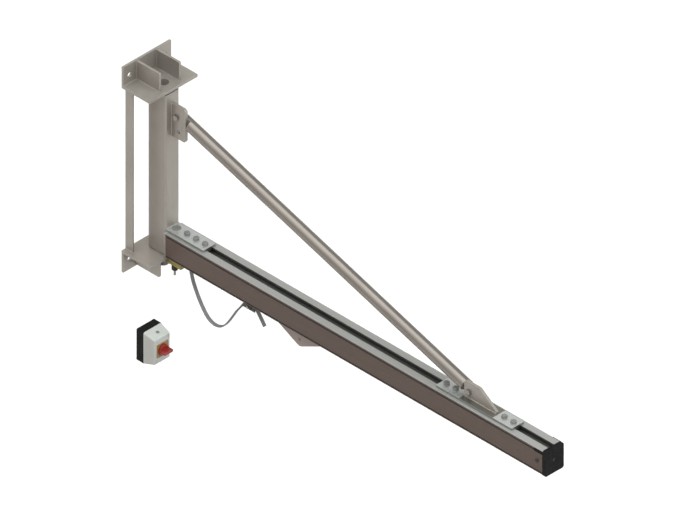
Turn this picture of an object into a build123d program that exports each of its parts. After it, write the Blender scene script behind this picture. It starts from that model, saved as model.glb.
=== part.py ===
from build123d import *
from math import atan2, cos, degrees, hypot, radians, sin, tan
import os

# Wall-mounted jib crane, in millimetres
# Origin: middle of the four anchor holes, on the wall. X points out from the wall along the jib, Z up

# Wall bracket
bracket_gap = 622  # clear height between the two bearing plates
wall_plate_width = 212
wall_plate_height = 82
wall_plate_thickness = 8
anchor_spacing = 156
anchor_hole_diameter = 18
bearing_plate_nose = 45  # from the swivel axis to the front edge
bearing_plate_thickness = 10
gusset_spacing = 88
gusset_thickness = 8
gusset_setback = 16  # behind the front edge of the bearing plate
gusset_height = 69
gusset_nose_radius = 4
strut_spacing = 173
strut_width = 33
strut_thickness = 5

# Swivel pivots
pivot_reach = 80  # from the wall to the swivel axis
pin_diameter = 36
pin_chamfer = 1.5
running_clearance = 0.05
seat_clearance = 0.02
bush_wall = 3
bush_flange_width = 7
bush_flange_thickness = 4
bush_length = 40
washer_width = 10
washer_lift = 0.1  # room between the thrust washer and the column
washer_bore_clearance = 0.4
pin_overhang = 50  # lower pin, below the lower bearing plate
collar_wall = 7
collar_height = 8
collar_gap = 0.6

# Column
column_depth = 80
column_width = 60
column_wall = 4
column_corner_radius = 6
column_head_gap = 10  # below the upper bearing plate
column_foot_gap = 3  # above the lower bearing plate
block_height = 40
block_clearance = 0.1

# Rail
rail_length = 1669
rail_width = 80
rail_height = 90
rail_lift = 4  # above the lower bearing plate
rail_wall = 4.5
rail_floor = 6
rail_roof = 7
rail_web = 5
rail_corner_radius = 1.5
top_slot_width = 27
top_slot_depth = 16
bottom_slot_width = 22
groove_width = 6
groove_depth = 2
upper_groove_drop = 9  # below the top of the rail
lower_groove_rise = 6  # above the bottom of the rail

# Bars bolted on top of the rail
bar_width = 56
bar_thickness = 8
root_plate_thickness = 8
root_bar_length = 156
root_hole_diameter = 30
root_hole_offset = 10
root_plug_thickness = 5
root_plug_sink = 0.6  # below the top of the bar
root_plug_dimple_diameter = 12
root_plug_dimple_depth = 1
bar_corner_radius = 3
screw_edge = 20
screw_pitch = 40
root_screw_count = 3
screw_diameter = 12
screw_flats = 18
screw_head_height = 7.5
screw_hole_clearance = 0.5
screw_length = 26
nut_bar_width = 44
nut_bar_length = 26
nut_bar_height = 8
thread_clearance = 0.05

# Tie
foot_inset = 317  # from the rail's outer end to the middle of the foot plate
foot_length = 336
foot_pin_offset = 45  # from the middle of the foot plate towards the column
foot_pin_rise = 22  # above the foot plate
fin_back = 20  # from the foot pin to the fin's upright edge
fin_length = 142
fin_height = 59
fin_crest = 67
fin_toe = 6
fin_back_radius = 12
fin_crest_radius = 30
lug_thickness = 10
lug_reach = 62
lug_height = 125
lug_drop = 37  # from the column head to the top of the lug
lug_corner_radius = 10
lug_pin_reach = 22
lug_pin_drop = 45  # below the top of the lug
lug_spare_pitch = 52
lug_spare_offset = 10
tie_diameter = 42.4
tie_wall = 3.2
eye_plate_thickness = 10
eye_plate_height = 32
tube_notch_gap = 1.5  # between the edge of the lug or fin and the whole tube
tube_setback = 20  # from a tie bolt to the end of the tube
eye_plug_length = 6
tie_bolt_diameter = 12
tie_bolt_flats = 19
tie_bolt_head = 8
tie_nut_height = 10
tie_bolt_tail = 3
tie_hole_clearance = 0.5

# Rail end
cap_thickness = 12
cap_side_lip = 2  # beyond the rail on each side
cap_lip = 3  # beyond the rail at the top and the bottom
cap_corner_radius = 8
cap_tab_length = 36
cap_tab_height = 11
cap_tab_drop = 1
stop_length = 40
stop_side_clearance = 0.2
stop_top_clearance = 0.5
stop_screw_inset = 25
buffer_diameter = 28
buffer_length = 20
buffer_nose_radius = 4
end_screw_diameter = 8
end_screw_length = 22
end_screw_head_diameter = 13
end_screw_head_height = 4
end_screw_recess = 5
end_screw_hole_clearance = 0.3

# Load trolley
trolley_reach = 685  # from the wall to the load eye
hanger_thickness = 8
hanger_half_length = 120
hanger_gap = 5  # below the rail
hanger_corner_radius = 10
eye_drop = 52  # below the rail
eye_diameter = 11
eye_boss_radius = 26
wheel_offset = 85
neck_width = 34
axle_diameter = 12
wheel_diameter = 31.4
wheel_width = 16
wheel_inset = 13  # from the rail's middle to the wheel's inner face
wheel_hub_diameter = 18
wheel_chamfer = 1
wheel_gap = 0.3  # above the runway
hub_gap = 0.4
clip_diameter = 18
clip_thickness = 1.5
clip_gap = 0.4
axle_overhang = 1.2

# Flat cable
cable_width = 14
cable_thickness = 5
bend_share = 0.45  # of the shorter run beside a bend
cable_swing_gap = 3.8  # from the swing of the lower plate's corners to the cable
cable_fall = 4  # straight, below the lower bearing plate
cable_rise = 20  # above the runway
clamp_width = 26
clamp_length = 16
clamp_tail = 2
clamp_plate_thickness = 4
clamp_block_length = 24
clamp_block_height = 24
clamp_screw_diameter = 4
clamp_screw_spacing = 20
clamp_screw_head_diameter = 7
clamp_screw_head_height = 2.5
clamp_screw_length = 18

# Cable trolley
carriage_reach = 465
carriage_thickness = 8
carriage_length = 50
carriage_rise = 24  # above the runway
carriage_drop = 15  # below the rail
stirrup_length = 24
stirrup_wall = 2.5
stirrup_bridge = 6
stirrup_clearance = 0.3
stirrup_tail = 6
roller_offset = 15
roller_diameter = 17.4
roller_width = 8
roller_inset = 12.5
roller_axle_diameter = 6
roller_side_gap = 0.4
rivet_head_diameter = 9
rivet_head_height = 1.2
saddle_drop = 46  # from the rail's underside to the saddle's centre
saddle_radius = 24
saddle_lip = 4
saddle_lip_width = 1.6
saddle_groove_clearance = 0.5
saddle_bolt_diameter = 6
saddle_bolt_flats = 10
saddle_bolt_head = 4
saddle_bolt_rise = 10  # above the saddle's centre
saddle_rise_angle = 56
saddle_fall_angle = 50
rise_run = 36  # straight length before the saddle
tail_run = 34  # straight length after the saddle
tail_end_reach = 21
tail_end_drop = 29

# Swivel brake
brake_overhang = 47  # beyond the front edge of the bearing plate
brake_bracket_thickness = 4
brake_bracket_width = 40
bracket_pin_gap = 3
brake_length = 55
brake_width = 32
brake_height = 22
brake_edge_radius = 3
brake_screw_diameter = 6
brake_screw_head_diameter = 10
brake_screw_head_height = 6
brake_screw_length = 16
brake_screw_inset = 10
brake_screw_pitch = 20
shoe_width = 24
shoe_height = 14
shoe_drop = 6
shoe_gap = 0.3
shoe_stem_diameter = 8
shoe_stem_length = 6
adjuster_inset = 13
adjuster_diameter = 8
adjuster_depth = 8
adjuster_tail = 46
lock_nut_flats = 19
lock_nut_height = 24

# Isolator switch
isolator_drop = 704  # below the middle of the anchor pattern
isolator_width = 80
isolator_height = 120
isolator_base_depth = 31
isolator_depth = 75
isolator_slope = 13  # of the cover's top and bottom
isolator_draft = 5  # of the cover's sides
isolator_wall = 3
isolator_corner_radius = 4
isolator_fixing_width = 40
isolator_fixing_height = 100
isolator_fixing_diameter = 5
cover_edge_radius = 6
knockout_diameter = 12
knockout_depth = 2
cover_screw_reach = 26  # from the middle, along the wall
cover_screw_rise = 38
cover_screw_boss = 8
cover_screw_sink = 3.2  # from the cover's front to the seat of the screw
cover_screw_recess_gap = 1  # round the head
cover_screw_grip = 11  # length in the base
cover_screw_diameter = 4
cover_screw_head_diameter = 8
cover_screw_head_height = 3
contact_width = 44
contact_height = 60
contact_depth = 56
plate_size = 50
plate_thickness = 1.5
plate_corner_radius = 2
knob_diameter = 40
knob_disc = 8
knob_gap = 0.3
knob_grip_height = 27  # from the back of the knob
knob_grip_width = 12
knob_edge_radius = 2
spindle_diameter = 8
spindle_hole_clearance = 0.5
spindle_end = 30  # from the wall to the spindle's inner end

# Levels and places worked out from the sizes above
bearing_plate_reach = pivot_reach + bearing_plate_nose
gusset_reach = bearing_plate_reach - gusset_setback
brake_reach = bearing_plate_reach + brake_overhang
upper_plate_bottom = bracket_gap / 2
lower_plate_top = -bracket_gap / 2
lower_plate_bottom = lower_plate_top - bearing_plate_thickness
wall_plate_middle = upper_plate_bottom + wall_plate_height / 2
column_top = upper_plate_bottom - column_head_gap
column_bottom = lower_plate_top + column_foot_gap
column_front = pivot_reach + column_depth / 2
pin_radius = pin_diameter / 2
bore_radius = pin_radius + running_clearance
bush_radius = bore_radius + bush_wall
rail_start = column_front + root_plate_thickness
rail_end = rail_start + rail_length
rail_bottom = lower_plate_top + rail_lift
rail_top = rail_bottom + rail_height
rail_middle = (rail_bottom + rail_top) / 2
runway = rail_bottom + rail_floor
slot_roof = rail_top - rail_roof
slot_floor = slot_roof - top_slot_depth
runway_roof = slot_floor - rail_web
chamber_width = rail_width - 2 * rail_wall
cap_width = rail_width + 2 * cap_side_lip
cap_height = rail_height + 2 * cap_lip
bar_top = rail_top + bar_thickness
foot_middle = rail_end - foot_inset
lug_top = column_top - lug_drop
upper_pin_x = column_front + lug_pin_reach
upper_pin_z = lug_top - lug_pin_drop
lower_pin_x = foot_middle - foot_pin_offset
lower_pin_z = bar_top + foot_pin_rise
tie_span = hypot(lower_pin_x - upper_pin_x, upper_pin_z - lower_pin_z)
tie_slope = degrees(atan2(upper_pin_z - lower_pin_z, lower_pin_x - upper_pin_x))
eye_lean = tie_diameter / 2 * sin(radians(tie_slope))
upper_throat = (lug_reach - lug_pin_reach + tube_notch_gap + eye_lean) / cos(radians(tie_slope))
lower_throat = (fin_back + tube_notch_gap + eye_lean) / cos(radians(tie_slope))
lap_face = lug_thickness / 2
tie_middle = lap_face + eye_plate_thickness / 2
eye_face = lap_face + eye_plate_thickness
tie_hole_radius = tie_bolt_diameter / 2 + tie_hole_clearance
isolator_middle = -isolator_drop
corner_swing = hypot(bearing_plate_nose, wall_plate_width / 2)
cable_start = pivot_reach + corner_swing + cable_swing_gap
cable_top = runway + cable_rise
clamp_middle = cable_top - clamp_tail - clamp_length / 2
block_face = cable_start + cable_thickness / 2
block_screw_x = block_face + clamp_block_length / 2
block_screw_z = runway + clamp_block_height / 2

os.makedirs("parts", exist_ok=True)


def save(node, name):
    node.part.label = name
    export_step(node.part, f"parts/{name}.step")


def hex_bolt(diameter, length, flats, head_height):
    """Hexagon bolt along Z, the underside of its head at the origin and its shank below."""
    with BuildPart() as bolt:
        with BuildSketch():
            RegularPolygon(flats / 2, 6, major_radius=False)
        extrude(amount=head_height)
        chamfer(bolt.faces().sort_by(Axis.Z)[-1].edges(), length=diameter / 16)
        with BuildSketch():
            Circle(diameter / 2)
        extrude(amount=-length)
    return bolt.part


def hex_nut(diameter, height, flats):
    """Hexagon nut along Z, seated at the origin."""
    with BuildPart() as nut:
        with BuildSketch():
            RegularPolygon(flats / 2, 6, major_radius=False)
            Circle(diameter / 2 + thread_clearance, mode=Mode.SUBTRACT)
        extrude(amount=height)
    return nut.part


def round_screw(diameter, length, head_diameter, head_height):
    """Round-head screw along Z with a hexagon socket, the underside of its head at the origin."""
    with BuildPart() as screw:
        with BuildSketch():
            Circle(head_diameter / 2)
        extrude(amount=head_height)
        fillet(screw.faces().sort_by(Axis.Z)[-1].edges(), radius=head_height / 4)
        with BuildSketch(Plane.XY.offset(head_height)):
            RegularPolygon(diameter / 3, 6, major_radius=False)
        extrude(amount=-head_height / 2, mode=Mode.SUBTRACT)
        with BuildSketch():
            Circle(diameter / 2)
        extrude(amount=-length)
    return screw.part


# Wall plates
with BuildPart() as upper_wall_plate:
    with BuildSketch(Plane.YZ):
        with Locations((0, wall_plate_middle)):
            Rectangle(wall_plate_width, wall_plate_height)
            with GridLocations(anchor_spacing, 0, 2, 1):
                Circle(anchor_hole_diameter / 2, mode=Mode.SUBTRACT)
    extrude(amount=wall_plate_thickness)
save(upper_wall_plate, "upper_wall_plate")

with BuildPart() as lower_wall_plate:
    mirror(upper_wall_plate.part, about=Plane.XY)
save(lower_wall_plate, "lower_wall_plate")

# Bearing plates
bearing_plate_depth = bearing_plate_reach - wall_plate_thickness
bearing_plate_middle = (bearing_plate_reach + wall_plate_thickness) / 2

with BuildPart() as upper_bearing_plate:
    with BuildSketch(Plane.XY.offset(upper_plate_bottom)):
        with Locations((bearing_plate_middle, 0)):
            Rectangle(bearing_plate_depth, wall_plate_width)
        with Locations((pivot_reach, 0)):
            Circle(pin_radius + seat_clearance, mode=Mode.SUBTRACT)
    extrude(amount=bearing_plate_thickness)
save(upper_bearing_plate, "upper_bearing_plate")

with BuildPart() as lower_bearing_plate:
    with BuildSketch(Plane.XY.offset(lower_plate_bottom)):
        with Locations((bearing_plate_middle, 0)):
            Rectangle(bearing_plate_depth, wall_plate_width)
        with Locations((pivot_reach, 0)):
            Circle(bush_radius + seat_clearance, mode=Mode.SUBTRACT)
    extrude(amount=bearing_plate_thickness)
save(lower_bearing_plate, "lower_bearing_plate")

# Gussets
gusset_bottom = upper_plate_bottom + bearing_plate_thickness

with BuildPart() as gussets:
    with BuildSketch(Plane.XZ.offset(gusset_spacing / 2)) as gusset_outline:
        with Locations((wall_plate_thickness, gusset_bottom)):
            Rectangle(gusset_reach - wall_plate_thickness, gusset_height, align=(Align.MIN, Align.MIN))
        fillet(gusset_outline.vertices().sort_by(Axis.X)[-2:].sort_by(Axis.Y)[-1], radius=gusset_nose_radius)
    extrude(amount=gusset_thickness / 2, both=True)
    mirror(about=Plane.XZ)
    mirror(about=Plane.XY)
save(gussets, "gussets")

# Side struts
with BuildPart() as side_struts:
    with BuildSketch(Plane.XY.offset(lower_plate_top)):
        with Locations((strut_width / 2, -strut_spacing / 2), (strut_width / 2, strut_spacing / 2)):
            Rectangle(strut_width, strut_thickness)
    extrude(amount=bracket_gap)
save(side_struts, "side_struts")

# Upper pivot: a pin set flush in the upper plate, turning in a bush in the column head
with BuildPart() as upper_pivot_pin:
    with BuildSketch(Plane.XY.offset(upper_plate_bottom + bearing_plate_thickness)):
        with Locations((pivot_reach, 0)):
            Circle(pin_radius)
    extrude(amount=-(bearing_plate_thickness + column_head_gap + bush_length))
    chamfer(upper_pivot_pin.faces().sort_by(Axis.Z)[0].edges(), length=pin_chamfer)
save(upper_pivot_pin, "upper_pivot_pin")

with BuildPart() as upper_bush:
    with BuildSketch(Plane.XY.offset(column_top)):
        with Locations((pivot_reach, 0)):
            Circle(bush_radius)
    extrude(amount=-bush_length)
    with BuildSketch(Plane.XY.offset(column_top)):
        with Locations((pivot_reach, 0)):
            Circle(bush_radius + bush_flange_width)
    extrude(amount=bush_flange_thickness)
    with Locations((pivot_reach, 0, column_top + bush_flange_thickness)):
        Hole(bore_radius)
save(upper_bush, "upper_bush")

# Lower pivot: a pin in the column foot, turning in a bush in the lower plate
with BuildPart() as lower_bush:
    with BuildSketch(Plane.XY.offset(lower_plate_bottom)):
        with Locations((pivot_reach, 0)):
            Circle(bush_radius)
            Circle(bore_radius, mode=Mode.SUBTRACT)
    extrude(amount=bearing_plate_thickness)
save(lower_bush, "lower_bush")

with BuildPart() as thrust_washer:
    with BuildSketch(Plane.XY.offset(lower_plate_top)):
        with Locations((pivot_reach, 0)):
            Circle(pin_radius + washer_width)
            Circle(pin_radius + washer_bore_clearance, mode=Mode.SUBTRACT)
    extrude(amount=column_foot_gap - washer_lift)
save(thrust_washer, "thrust_washer")

pin_bottom = lower_plate_bottom - pin_overhang

with BuildPart() as lower_pivot_pin:
    with BuildSketch(Plane.XY.offset(column_bottom + block_height)):
        with Locations((pivot_reach, 0)):
            Circle(pin_radius)
    extrude(amount=pin_bottom - column_bottom - block_height)
    chamfer(lower_pivot_pin.faces().sort_by(Axis.Z)[0].edges(), length=pin_chamfer)
save(lower_pivot_pin, "lower_pivot_pin")

with BuildPart() as pin_collar:
    with BuildSketch(Plane.XY.offset(lower_plate_bottom - collar_gap)):
        with Locations((pivot_reach, 0)):
            Circle(pin_radius + collar_wall)
            Circle(pin_radius + seat_clearance, mode=Mode.SUBTRACT)
    extrude(amount=-collar_height)
save(pin_collar, "pin_collar")

# Column: box section with a bored block welded into each end
inner_depth = column_depth - 2 * column_wall
inner_width = column_width - 2 * column_wall
inner_radius = column_corner_radius - column_wall
block_depth = inner_depth - 2 * block_clearance
block_width = inner_width - 2 * block_clearance

with BuildPart() as column:
    with BuildSketch(Plane.XY.offset(column_bottom)):
        with Locations((pivot_reach, 0)):
            RectangleRounded(column_depth, column_width, column_corner_radius)
            RectangleRounded(inner_depth, inner_width, inner_radius, mode=Mode.SUBTRACT)
    extrude(amount=column_top - column_bottom)
save(column, "column")

with BuildPart() as column_top_block:
    with BuildSketch(Plane.XY.offset(column_top - block_height)):
        with Locations((pivot_reach, 0)):
            RectangleRounded(block_depth, block_width, inner_radius)
            Circle(bush_radius + seat_clearance, mode=Mode.SUBTRACT)
    extrude(amount=block_height)
save(column_top_block, "column_top_block")

with BuildPart() as column_bottom_block:
    with BuildSketch(Plane.XY.offset(column_bottom)):
        with Locations((pivot_reach, 0)):
            RectangleRounded(block_depth, block_width, inner_radius)
            Circle(pin_radius + seat_clearance, mode=Mode.SUBTRACT)
    extrude(amount=block_height)
save(column_bottom_block, "column_bottom_block")

# Rail: extrusion with a screw slot on top and a trolley runway open at the bottom
stop_screw_x = rail_end - stop_screw_inset
end_screw_hole_radius = end_screw_diameter / 2 + end_screw_hole_clearance
upper_groove = rail_top - upper_groove_drop
lower_groove = rail_bottom + lower_groove_rise

with BuildPart() as rail:
    with BuildSketch(Plane.YZ.offset(rail_start)):
        with Locations((0, rail_middle)):
            RectangleRounded(rail_width, rail_height, rail_corner_radius)
        with Locations((0, (runway + runway_roof) / 2)):
            Rectangle(chamber_width, runway_roof - runway, mode=Mode.SUBTRACT)
        with Locations((0, (slot_floor + slot_roof) / 2)):
            Rectangle(chamber_width, top_slot_depth, mode=Mode.SUBTRACT)
        with Locations((0, (rail_bottom + runway) / 2)):
            Rectangle(bottom_slot_width, rail_floor, mode=Mode.SUBTRACT)
        with Locations((0, (slot_roof + rail_top) / 2)):
            Rectangle(top_slot_width, rail_roof, mode=Mode.SUBTRACT)
        with Locations((0, upper_groove), (0, lower_groove)):
            with GridLocations(rail_width, 0, 2, 1):
                Rectangle(2 * groove_depth, groove_width, mode=Mode.SUBTRACT)
    extrude(amount=rail_length)
    with BuildSketch(Plane.XZ):
        with Locations((stop_screw_x, rail_middle)):
            Circle(end_screw_hole_radius)
    extrude(amount=rail_width, both=True, mode=Mode.SUBTRACT)
    with BuildSketch(Plane.XZ.offset(-rail_width / 2)):
        with Locations((block_screw_x, block_screw_z)):
            Circle(end_screw_hole_radius)
    extrude(amount=rail_wall, mode=Mode.SUBTRACT)
save(rail, "rail")

# Root bracket: plate welded to the column with a bar that carries the rail
root_bar_end = rail_start + root_bar_length
root_screw_places = [root_bar_end - screw_edge - screw_pitch * i for i in range(root_screw_count)]
screw_hole_radius = screw_diameter / 2 + screw_hole_clearance

with BuildPart() as root_bracket:
    with BuildSketch(Plane.YZ.offset(column_front)):
        with Locations((0, rail_middle)):
            Rectangle(rail_width, rail_height)
    extrude(amount=root_plate_thickness)
    with BuildSketch(Plane.XY.offset(rail_top)) as root_bar:
        with Locations((column_front, 0)):
            Rectangle(root_plate_thickness + root_bar_length, bar_width, align=(Align.MIN, Align.CENTER))
        fillet(root_bar.vertices().sort_by(Axis.X)[-2:], radius=bar_corner_radius)
        with Locations((rail_start + root_hole_offset, 0)):
            Circle(root_hole_diameter / 2, mode=Mode.SUBTRACT)
    extrude(amount=bar_thickness)
    with Locations([(x, 0, bar_top) for x in root_screw_places]):
        Hole(screw_hole_radius, depth=bar_thickness)
save(root_bracket, "root_bracket")

plug_top = bar_top - root_plug_sink

with BuildPart() as root_plug:
    with BuildSketch(Plane.XY.offset(plug_top)):
        with Locations((rail_start + root_hole_offset, 0)):
            Circle(root_hole_diameter / 2 - seat_clearance)
    extrude(amount=-root_plug_thickness)
    with BuildSketch(Plane.XY.offset(plug_top)):
        with Locations((rail_start + root_hole_offset, 0)):
            Circle(root_plug_dimple_diameter / 2)
    extrude(amount=-root_plug_dimple_depth, mode=Mode.SUBTRACT)
save(root_plug, "root_plug")

# Tie foot: plate on the rail with an upright fin
foot_screw_reach = foot_length / 2 - screw_edge
foot_screw_places = [
    foot_middle + side * (foot_screw_reach - screw_pitch * i) for side in (-1, 1) for i in range(2)
]

with BuildPart() as foot_plate:
    with BuildSketch(Plane.XY.offset(rail_top)):
        with Locations((foot_middle, 0)):
            RectangleRounded(foot_length, bar_width, bar_corner_radius)
    extrude(amount=bar_thickness)
    with Locations([(x, 0, bar_top) for x in foot_screw_places]):
        Hole(screw_hole_radius, depth=bar_thickness)
save(foot_plate, "foot_plate")

fin_start = lower_pin_x - fin_back
fin_end = fin_start + fin_length

with BuildPart() as foot_fin:
    with BuildSketch(Plane.XZ) as fin_outline:
        with BuildLine():
            Polyline(
                (fin_start, bar_top),
                (fin_start, bar_top + fin_height),
                (fin_start + fin_crest, bar_top + fin_height),
                (fin_end, bar_top + fin_toe),
                (fin_end, bar_top),
                close=True,
            )
        make_face()
        fin_corners = fin_outline.vertices().sort_by(Axis.Y)[-2:].sort_by(Axis.X)
        fillet(fin_corners[0], radius=fin_back_radius)
        fillet(fin_corners[1], radius=fin_crest_radius)
        with Locations((lower_pin_x, lower_pin_z)):
            Circle(tie_hole_radius, mode=Mode.SUBTRACT)
    extrude(amount=lug_thickness / 2, both=True)
save(foot_fin, "foot_fin")

# Screws and slot nuts that hold the two bars
bar_screw = hex_bolt(screw_diameter, screw_length, screw_flats, screw_head_height)
bar_screw_places = root_screw_places + foot_screw_places

with BuildPart() as rail_screws:
    with Locations([(x, 0, bar_top) for x in bar_screw_places]):
        add(bar_screw)
save(rail_screws, "rail_screws")

with BuildPart() as slot_nuts:
    with BuildSketch(Plane.XY.offset(slot_roof)):
        with Locations([(x, 0) for x in bar_screw_places]):
            Rectangle(nut_bar_length, nut_bar_width)
            Circle(screw_diameter / 2 + thread_clearance, mode=Mode.SUBTRACT)
    extrude(amount=-nut_bar_height)
save(slot_nuts, "slot_nuts")

# Tie lug on the column
with BuildPart() as tie_lug:
    with BuildSketch(Plane.XZ) as lug_outline:
        with Locations((column_front, lug_top)):
            Rectangle(lug_reach, lug_height, align=(Align.MIN, Align.MAX))
        fillet(lug_outline.vertices().sort_by(Axis.X)[-2:], radius=lug_corner_radius)
        with Locations(
            (upper_pin_x, upper_pin_z), (upper_pin_x + lug_spare_offset, upper_pin_z - lug_spare_pitch)
        ):
            Circle(tie_hole_radius, mode=Mode.SUBTRACT)
    extrude(amount=lug_thickness / 2, both=True)
save(tie_lug, "tie_lug")


# Tie: round tube with a flat eye welded in each end, lapped and bolted to the far side of the lug and the fin
def tie_eye(throat):
    """Flat eye about the Y axis, with the round plug that closes the tube beyond its throat."""
    with BuildPart() as eye:
        with BuildSketch(Plane.XZ):
            Rectangle(throat, eye_plate_height, align=(Align.MIN, Align.CENTER))
            Circle(eye_plate_height / 2)
            Circle(tie_hole_radius, mode=Mode.SUBTRACT)
        extrude(amount=eye_plate_thickness / 2, both=True)
        with BuildSketch(Plane.YZ.offset(throat)):
            Circle(tie_diameter / 2 - tie_wall - seat_clearance)
        extrude(amount=eye_plug_length)
    return eye.part


upper_eye = tie_eye(upper_throat)
lower_eye = tie_eye(lower_throat)

with BuildPart() as tie_eyes:
    with Locations(Location((upper_pin_x, tie_middle, upper_pin_z), (0, tie_slope, 0))):
        add(upper_eye)
    with Locations(Location((lower_pin_x, tie_middle, lower_pin_z), (0, tie_slope + 180, 0))):
        add(lower_eye)
save(tie_eyes, "tie_eyes")

tube_direction = Vector(cos(radians(tie_slope)), 0, -sin(radians(tie_slope)))
tube_start = Vector(upper_pin_x, tie_middle, upper_pin_z) + tube_direction * tube_setback
tube_notch_align = (Align.MIN, Align.MAX, Align.CENTER)

with BuildPart() as tie_tube:
    with BuildSketch(Plane(origin=tube_start, x_dir=(0, 1, 0), z_dir=tube_direction)):
        Circle(tie_diameter / 2)
        Circle(tie_diameter / 2 - tie_wall, mode=Mode.SUBTRACT)
    extrude(amount=tie_span - 2 * tube_setback)
    with Locations(Location((upper_pin_x, lap_face, upper_pin_z), (0, tie_slope, 0))):
        Box(upper_throat, tie_diameter, 2 * tie_diameter, align=tube_notch_align, mode=Mode.SUBTRACT)
    with Locations(Location((lower_pin_x, lap_face, lower_pin_z), (0, tie_slope + 180, 0))):
        Box(lower_throat, tie_diameter, 2 * tie_diameter, align=tube_notch_align, mode=Mode.SUBTRACT)
save(tie_tube, "tie_tube")

tie_bolt_length = lug_thickness + eye_plate_thickness + tie_nut_height + tie_bolt_tail
tie_bolt = hex_bolt(tie_bolt_diameter, tie_bolt_length, tie_bolt_flats, tie_bolt_head)
tie_nut = hex_nut(tie_bolt_diameter, tie_nut_height, tie_bolt_flats)
tie_pins = [(upper_pin_x, upper_pin_z), (lower_pin_x, lower_pin_z)]

with BuildPart() as tie_bolts:
    with Locations([Location((x, -lap_face, z), (90, 0, 0)) for x, z in tie_pins]):
        add(tie_bolt)
save(tie_bolts, "tie_bolts")

with BuildPart() as tie_nuts:
    with Locations([Location((x, eye_face, z), (-90, 0, 0)) for x, z in tie_pins]):
        add(tie_nut)
save(tie_nuts, "tie_nuts")

# Rail end: stop block with a rubber buffer, and the end cap
with BuildPart() as rail_stop:
    with BuildSketch(Plane.YZ.offset(rail_end - stop_length)):
        with Locations((0, runway)):
            Rectangle(
                chamber_width - 2 * stop_side_clearance,
                runway_roof - runway - stop_top_clearance,
                align=(Align.CENTER, Align.MIN),
            )
    extrude(amount=stop_length)
    with BuildSketch(Plane.YZ.offset(rail_end)):
        with Locations((0, rail_middle)):
            Circle(end_screw_diameter / 2 + thread_clearance)
    extrude(amount=-end_screw_length, mode=Mode.SUBTRACT)
    with BuildSketch(Plane.XZ.offset(chamber_width / 2), Plane.XZ.offset(-chamber_width / 2)):
        with Locations((stop_screw_x, rail_middle)):
            Circle(end_screw_diameter / 2 + thread_clearance)
    extrude(amount=end_screw_length, both=True, mode=Mode.SUBTRACT)
save(rail_stop, "rail_stop")

buffer_middle = runway + wheel_gap + wheel_diameter / 2

with BuildPart() as stop_buffer:
    with BuildSketch(Plane.YZ.offset(rail_end - stop_length)):
        with Locations((0, buffer_middle)):
            Circle(buffer_diameter / 2)
    extrude(amount=-buffer_length)
    fillet(stop_buffer.faces().sort_by(Axis.X)[0].edges(), radius=buffer_nose_radius)
save(stop_buffer, "stop_buffer")

cap_front = rail_end + cap_thickness

with BuildPart() as end_cap:
    with BuildSketch(Plane.YZ.offset(rail_end)):
        with Locations((0, rail_middle)):
            RectangleRounded(cap_width, cap_height, cap_corner_radius)
    extrude(amount=cap_thickness)
    with BuildSketch(Plane.YZ.offset(rail_end)):
        with Locations((0, rail_top - cap_tab_drop)):
            Rectangle(cap_width, cap_tab_height, align=(Align.CENTER, Align.MAX))
            Rectangle(rail_width, cap_tab_height, align=(Align.CENTER, Align.MAX), mode=Mode.SUBTRACT)
    extrude(amount=-cap_tab_length)
    with Locations(Location((cap_front, 0, rail_middle), (0, 90, 0))):
        CounterBoreHole(
            end_screw_hole_radius,
            end_screw_head_diameter / 2 + end_screw_hole_clearance,
            end_screw_recess,
            depth=cap_thickness,
        )
save(end_cap, "end_cap")

end_screw = round_screw(end_screw_diameter, end_screw_length, end_screw_head_diameter, end_screw_head_height)
end_screw_places = [
    Location((cap_front - end_screw_recess, 0, rail_middle), (0, 90, 0)),
    Location((stop_screw_x, -rail_width / 2, rail_middle), (90, 0, 0)),
    Location((stop_screw_x, rail_width / 2, rail_middle), (-90, 0, 0)),
    Location((block_screw_x, rail_width / 2, block_screw_z), (-90, 0, 0)),
]

with BuildPart() as end_screws:
    with Locations(end_screw_places):
        add(end_screw)
save(end_screws, "end_screws")

# Load trolley: hanger plate on two axles with a wheel each side of the slot
axle_height = runway + wheel_gap + wheel_diameter / 2
axle_places = [trolley_reach - wheel_offset, trolley_reach + wheel_offset]
hanger_top = rail_bottom - hanger_gap
eye_height = rail_bottom - eye_drop
hanger_corner_reach = hanger_half_length - hanger_corner_radius
neck_height = axle_height - hanger_top + hanger_corner_radius
axle_half_length = wheel_inset + wheel_width + clip_gap + clip_thickness + axle_overhang

with BuildPart() as hanger_plate:
    with BuildSketch(Plane.XZ):
        with Locations((trolley_reach, eye_height)):
            Circle(eye_boss_radius)
        with Locations((trolley_reach, hanger_top - hanger_corner_radius)):
            with GridLocations(2 * hanger_corner_reach, 0, 2, 1):
                Circle(hanger_corner_radius)
        make_hull()
        with Locations([(x, axle_height) for x in axle_places]):
            Circle(neck_width / 2)
            Rectangle(neck_width, neck_height, align=(Align.CENTER, Align.MAX))
            Circle(axle_diameter / 2 + seat_clearance, mode=Mode.SUBTRACT)
        with Locations((trolley_reach, eye_height)):
            Circle(eye_diameter / 2, mode=Mode.SUBTRACT)
    extrude(amount=hanger_thickness / 2, both=True)
save(hanger_plate, "hanger_plate")

with BuildPart() as trolley_axles:
    with BuildSketch(Plane.XZ):
        with Locations([(x, axle_height) for x in axle_places]):
            Circle(axle_diameter / 2)
    extrude(amount=axle_half_length, both=True)
save(trolley_axles, "trolley_axles")

with BuildPart() as axle_clips:
    with BuildSketch(Plane.XZ.offset(wheel_inset + wheel_width + clip_gap)):
        with Locations([(x, axle_height) for x in axle_places]):
            Circle(clip_diameter / 2)
            Circle(axle_diameter / 2 + seat_clearance, mode=Mode.SUBTRACT)
    extrude(amount=clip_thickness)
    mirror(about=Plane.XZ)
save(axle_clips, "axle_clips")


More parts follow.
